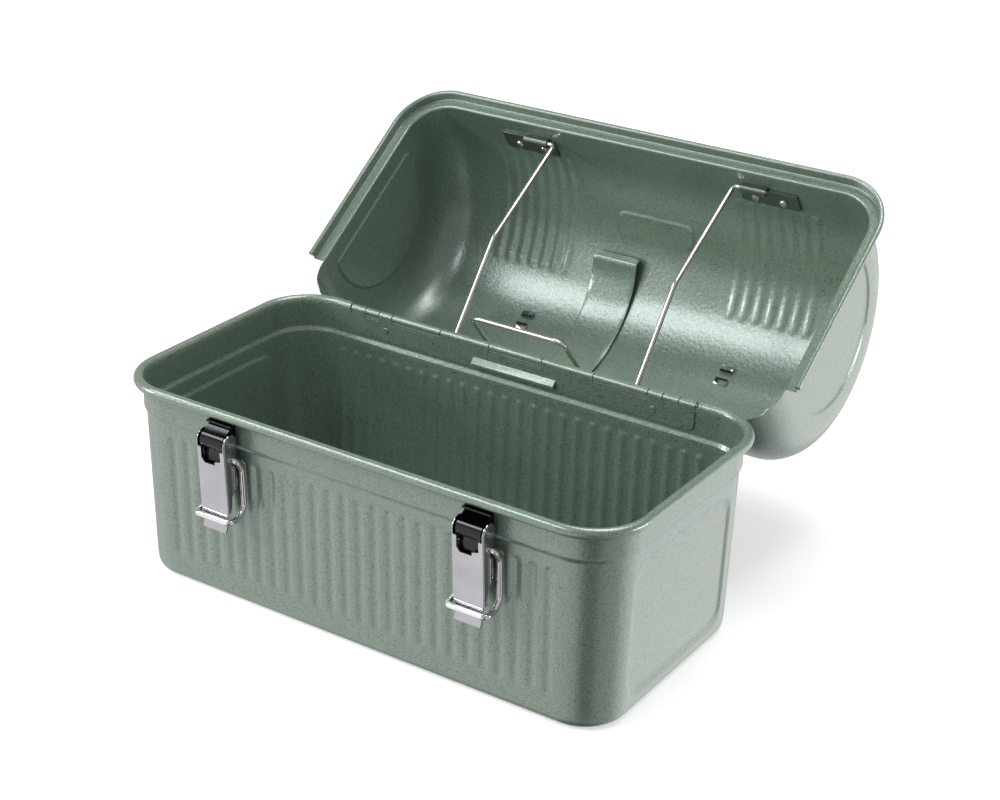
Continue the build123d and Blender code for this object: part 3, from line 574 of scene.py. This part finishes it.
def make_lid():
    outer = lid_surface(0.0)
    inner = lid_surface(LID_SHEET)
    rows, cols = outer.shape[:2]
    faces = grid_faces(rows, cols) + grid_faces(rows, cols, start=rows * cols)
    points = [outer.reshape(-1, 3), inner.reshape(-1, 3)]
    start = 2 * rows * cols
    plan, normal = lid_plan()
    # two extra stops where the skirt ends, so that it is cut off square
    keep = []
    for j in range(len(plan)):
        keep.append((plan[j], normal[j]))
        a, b = plan[j], plan[(j + 1) % len(plan)]
        if (a[1] - SKIRT_END) * (b[1] - SKIRT_END) < 0:
            t = (SKIRT_END - a[1]) / (b[1] - a[1])
            for shift in (-1e-3, 1e-3):
                keep.append((a + (b - a) * (t + shift), normal[j]))
    plan = np.array([k[0] for k in keep])
    normal = np.array([k[1] for k in keep])
    bare = plan[:, 1] > SKIRT_END
    low_edge = np.where(plan[:, 1] > BACK_WALL_Y, BACK_LOW, CORNER_LOW)
    section = rim_section()
    for d, z, ledge in section:
        ring = np.zeros((len(plan), 3))
        offs = np.full(len(plan), d)
        high = np.full(len(plan), z)
        if z < WALL_LOW:
            offs = np.where(bare, np.clip(d, -LID_SHEET, 0.0), offs)
            plain = 0.0 if ledge else min(z, BARE_TOP)
            high = np.where(bare, np.maximum(low_edge, plain), high)
        ring[:, :2] = plan + normal * offs[:, None]
        ring[:, 2] = high
        points.append(ring)
    cols = len(plan)
    deep = range(len(section))
    for j in range(cols):
        after = (j + 1) % cols
        if bare[j] == bare[after]:
            for i in deep[:-1]:
                low, high = start + i * cols, start + (i + 1) * cols
                faces.append((low + j, low + after, high + after, high + j))
        else:
            # the skirt is cut off square, so its section shows as a closed end
            skirted = after if bare[j] else j
            faces.append(tuple(start + i * cols + skirted for i in deep))
    lid = mesh_object("lid_body", opened(np.concatenate(points)) * MM, faces, 55.0)
    finish_piece(lid, "lid", "paint", "lid_shell")


# ---------------------------------------------------------------- small parts

def make_strap():
    """Leaf spring inside the crown: it hugs the shell and lifts only near its free, lipped end."""
    x_low, x_high = -38.3, -7.2
    thick = 0.9
    hug = LID_R - LID_SHEET - 0.8
    line = []
    for ang in spread(-71.5, 38.0, 1.5):
        free = max(0.0, (ang - 5.0) / 33.0)
        reach = hug - 5.2 * free * free
        lean = math.radians(ang)
        line.append((-reach * math.sin(lean), DOME_Z + reach * math.cos(lean)))
    # the lip leaves the curve and runs out nearly level
    lip_length, lip_steps = 4.8, 8
    for k in range(lip_steps):
        turn = min(1.0, (k + 1) / 3)
        heading = math.radians(38.0 * (1 - turn) - 6.0 * turn)
        y, z = line[-1]
        step = lip_length / lip_steps
        line.append((y - step * math.cos(heading), z - step * math.sin(heading)))
    line = np.array(line)
    along = np.gradient(line, axis=0)
    along /= np.linalg.norm(along, axis=1)[:, None]
    inward = np.stack((-along[:, 1], along[:, 0]), axis=1)
    widths = spread(x_low, x_high, 1.6)
    rings = []
    for deep in (0.0, thick):
        for (y, z), (ny, nz) in zip(line, inward):
            for x in widths:
                edge = min(x - x_low, x_high - x)
                ease = 0.35 * max(0.0, 1 - edge / 1.2) ** 2
                shift = deep - ease if deep else ease
                rings.append((x, y + ny * shift, z + nz * shift))
    rows, cols = len(line), len(widths)
    half = rows * cols
    faces = grid_faces(rows, cols) + grid_faces(rows, cols, start=half)
    for i in range(rows - 1):
        for j in (0, cols - 1):
            a, b = i * cols + j, (i + 1) * cols + j
            faces.append((a, b, b + half, a + half))
    for j in range(cols - 1):
        for i in (0, rows - 1):
            a = i * cols + j
            faces.append((a, a + 1, a + 1 + half, a + half))
    strap = mesh_object("crown_strap_look", opened(rings) * MM, faces, 50.0)
    finish_piece(strap, "lid", "paint", "crown_strap")


def bent_path(points, bends):
    """Points of a wire's centre line: straight runs joined by arcs of the given radii."""
    points = [np.array(p, float) for p in points]
    path = [points[0]]
    for before, corner, after, radius in zip(points, points[1:], points[2:], bends):
        u = (before - corner) / np.linalg.norm(before - corner)
        v = (after - corner) / np.linalg.norm(after - corner)
        half = math.acos(float(np.clip(u @ v, -1, 1))) / 2
        middle = (u + v) / np.linalg.norm(u + v)
        centre = corner + middle * radius / math.sin(half)
        arm_a = corner + u * radius / math.tan(half) - centre
        arm_b = corner + v * radius / math.tan(half) - centre
        turn = math.pi - 2 * half
        steps = max(3, math.ceil(math.degrees(turn) / 6))
        for k in range(steps + 1):
            t = turn * k / steps
            arm = (arm_a * math.sin(turn - t) + arm_b * math.sin(t)) / math.sin(turn)
            path.append(centre + arm)
    path.append(points[-1])
    return np.array(path)


def tube(name, node_name, path, radius, sides=24):
    """Round wire along a path in mm, with flat ends, which stands for a CAD wire."""
    along = np.gradient(path, axis=0)
    along /= np.linalg.norm(along, axis=1)[:, None]
    across = np.cross(along[0], (0.3, 0.5, 0.8))
    rings = []
    for place, way in zip(path, along):
        across = across - way * (across @ way)
        across /= np.linalg.norm(across)
        other = np.cross(way, across)
        for k in range(sides):
            ang = 2 * math.pi * k / sides
            rings.append(place + radius * (across * math.cos(ang) + other * math.sin(ang)))
    faces = grid_faces(len(path), sides, wrap_cols=True)
    faces.append(tuple(range(sides))[::-1])
    faces.append(tuple((len(path) - 1) * sides + k for k in range(sides)))
    wire = mesh_object(name, np.array(rings) * MM, faces, 50.0)
    finish = NODE_MATERIAL.get(node_name)
    finish_piece(wire, body_of[node_name], slot_of[node_name], node_name, finish=finish)


def mirrored(half, bends):
    """Both halves of a wire that is the same left and right of its middle."""
    return half + [(-x, y, z) for x, y, z in half[::-1]], bends + bends[::-1]


def make_bail():
    half = [
        (84.5, BAIL_Y, BAIL_Z),
        (62.5, BAIL_Y, BAIL_Z),
        (62.5, 2.0, 127.5),
        (62.5, 68.0, 147.5),
        (31.5, 68.0, 147.5),
        (31.5, 71.6, 104.0),
    ]
    points, bends = mirrored(half, [2.6, 12.0, 4.0, 4.0, 7.0])
    tube("bottle_bail_look", "bottle_bail", opened(bent_path(points, bends)), 1.5)


def make_loop(side, word):
    """Latch loop: stubs in the lever's cheeks, bowed arms and a cross bar."""
    loop_x, loop_y, loop_z = 12.3, -85.0, 94.5
    half = [
        (8.0, loop_y, loop_z),
        (loop_x, loop_y, loop_z),
        (loop_x, -81.0, 88.0),
        (loop_x, -81.0, 60.0),
        (loop_x, -93.8, 60.0),
    ]
    points, bends = mirrored(half, [2.2, 6.0, 8.5, 3.2])
    path = bent_path(points, bends)
    y = path[:, 1] - PIVOT_Y
    z = path[:, 2] - PIVOT_Z
    lean = math.radians(LEVER_LEAN)
    path[:, 0] += side * LATCH_X
    path[:, 1] = PIVOT_Y + y * math.cos(lean) - z * math.sin(lean)
    path[:, 2] = PIVOT_Z + y * math.sin(lean) + z * math.cos(lean)
    tube("latch_loop_" + word + "_look", "latch_loop_" + word, path, 1.6)


def softened(name, node_name, width):
    """A copy of a CAD node that stands for it, its hard edges eased unless the width is 0."""
    source = nodes[node_name]
    obj = bpy.data.objects.new(name, source.data.copy())
    bpy.context.scene.collection.objects.link(obj)
    work = bmesh.new()
    work.from_mesh(obj.data)
    bmesh.ops.remove_doubles(work, verts=work.verts, dist=1e-6)
    if width > 0:
        flat_limit = math.radians(1.0)
        bmesh.ops.dissolve_limit(
            work,
            angle_limit=flat_limit,
            verts=work.verts,
            edges=work.edges,
            delimit={"NORMAL"},
        )
    work.to_mesh(obj.data)
    work.free()
    if width > 0:
        mod = obj.modifiers.new("ease", "BEVEL")
        mod.width = width * MM
        mod.segments = EASE_SEGMENTS
        mod.limit_method = "ANGLE"
        mod.angle_limit = math.radians(EASE_ANGLE)
    smooth(obj, 40.0)
    finish = NODE_MATERIAL.get(node_name)
    finish_piece(obj, body_of[node_name], slot_of[node_name], node_name, finish=finish)


make_tub()
make_lid()
make_strap()
make_bail()
make_loop(-1, "left")
make_loop(1, "right")
EASED = {
    "hinge_leaf_base": 0.20,
    "hinge_leaf_lid": 0.20,
    "bail_bracket_left": 0.25,
    "bail_bracket_right": 0.25,
    "lid_catch_left": 0.25,
    "lid_catch_right": 0.25,
    "handle_bracket_left": 0.20,
    "handle_bracket_right": 0.20,
    "latch_bracket_left": 0.25,
    "latch_bracket_right": 0.25,
    "latch_lever_left": 0.30,
    "latch_lever_right": 0.30,
    "handle_wire": 0.0,
}
for name, width in EASED.items():
    softened(name + "_look", name, width)

for name in sorted(nodes):
    if nodes[name].hide_render:
        continue
    data = nodes[name].data
    data.materials.clear()
    data.materials.append(SLOT_MATERIAL[slot_of[name]])


# ---------------------------------------------------------------- floor, light, camera

def make_floor():
    mesh = bpy.data.meshes.new("floor")
    reach = 6.0
    corners = [(-reach, -reach, 0), (reach, -reach, 0), (reach, reach, 0), (-reach, reach, 0)]
    mesh.from_pydata(corners, [], [(0, 1, 2, 3)])
    floor = bpy.data.objects.new("floor", mesh)
    bpy.context.scene.collection.objects.link(floor)
    mat, tree, bsdf = new_material("floor_white")
    bsdf.inputs["Base Color"].default_value = (0.90, 0.90, 0.90, 1)
    bsdf.inputs["Roughness"].default_value = 0.8
    bsdf.inputs["Emission Color"].default_value = (1, 1, 1, 1)
    bsdf.inputs["Emission Strength"].default_value = 0.45
    mesh.materials.append(mat)
    floor.visible_glossy = False
    floor.visible_diffuse = False


def area_light(name, place, target, width, height, power, colour=(1, 1, 1)):
    data = bpy.data.lights.new(name, "AREA")
    data.shape = "RECTANGLE"
    data.size = width
    data.size_y = height
    data.energy = power
    data.color = colour
    light = bpy.data.objects.new(name, data)
    bpy.context.scene.collection.objects.link(light)
    light.location = place
    aim = (Vector(target) - Vector(place)).to_track_quat("-Z", "Y")
    light.rotation_euler = aim.to_euler()


def lobe(tree, direction, aim, start, full):
    """1 where the world's direction is near `aim`, falling to 0 away from it."""
    dot = tree.nodes.new("ShaderNodeVectorMath")
    dot.operation = "DOT_PRODUCT"
    dot.inputs[1].default_value = Vector(aim).normalized()
    tree.links.new(direction, dot.inputs[0])
    made = tree.nodes.new("ShaderNodeMapRange")
    made.interpolation_type = "SMOOTHSTEP"
    made.inputs["From Min"].default_value = start
    made.inputs["From Max"].default_value = full
    tree.links.new(dot.outputs["Value"], made.inputs["Value"])
    return made.outputs["Result"]


# direction, the cosines where the patch starts and is full, and its grey
WORLD_LOBES = [
    ((-0.51, -0.08, 0.86), 0.93, 0.985, 0.03),
    ((-0.51, -0.76, -0.41), 0.50, 0.90, 1.05),
    ((0.52, -0.75, -0.41), 0.90, 0.985, 0.01),
    ((0.60, 0.75, -0.30), 0.72, 0.94, 1.35),
    ((0.0, -0.20, -1.0), 0.80, 0.96, 0.08),
]


def make_world():
    """A pale studio with bright and dark patches, for the paint and chrome to mirror."""
    world = bpy.data.worlds.new("studio")
    world.use_nodes = True
    tree = world.node_tree
    back = tree.nodes["Background"]
    direction = tree.nodes.new("ShaderNodeTexCoord").outputs["Generated"]
    above = lobe(tree, direction, (0, 0, 1), -0.25, 0.25)
    tone = mix(tree, above, (0.60, 0.60, 0.62, 1), (0.42, 0.42, 0.42, 1))
    for aim, start, full, grey in WORLD_LOBES:
        tone = mix(tree, lobe(tree, direction, aim, start, full), tone, (grey, grey, grey, 1))
    tree.links.new(tone, back.inputs["Color"])
    back.inputs["Strength"].default_value = 1.0
    bpy.context.scene.world = world


def make_light():
    make_world()
    area_light("key", (-0.62, -0.62, 1.05), (0, 0.08, 0.1), 1.0, 0.42, 9.0, (0.90, 0.96, 1.0))
    area_light("side", (-1.10, -0.78, 0.45), (0, -0.08, 0.07), 0.22, 0.22, 5.5)
    area_light("top", (0.10, 0.35, 1.40), (0, 0.06, 0.1), 1.0, 0.6, 11.0)
    area_light("right", (1.2, 0.45, 0.14), (0.16, 0, 0.06), 0.6, 0.2, 5.0)
    view = bpy.context.scene.view_settings
    view.view_transform = "Standard"
    view.look = "None"


def make_camera():
    """Camera at the photograph's viewing angle, looking past a point above the tub's middle."""
    azimuth, elevation, roll = map(math.radians, (33.8, 24.5, 1.15))
    distance, along_x, along_y = 1128.8, 19.9, 19.3
    back = Vector((
        math.sin(azimuth) * math.cos(elevation),
        -math.cos(azimuth) * math.cos(elevation),
        math.sin(elevation),
    ))
    flat_x = Vector((0, 0, 1)).cross(back).normalized()
    flat_y = back.cross(flat_x)
    right = flat_x * math.cos(roll) + flat_y * math.sin(roll)
    up = -flat_x * math.sin(roll) + flat_y * math.cos(roll)
    place = back * distance + right * along_x + up * along_y + Vector((0, 0, 110))
    data = bpy.data.cameras.new("camera")
    data.sensor_width = 36.0
    data.lens = 74.74
    data.shift_x = 0.027
    data.shift_y = -0.021
    data.clip_start = 0.01
    data.clip_end = 50
    camera = bpy.data.objects.new("camera", data)
    bpy.context.scene.collection.objects.link(camera)
    matrix = Matrix((right, up, back)).transposed().to_4x4()
    matrix.translation = place * MM
    camera.matrix_world = matrix
    bpy.context.scene.camera = camera


make_floor()
make_light()
make_camera()

bpy.context.view_layer.update()
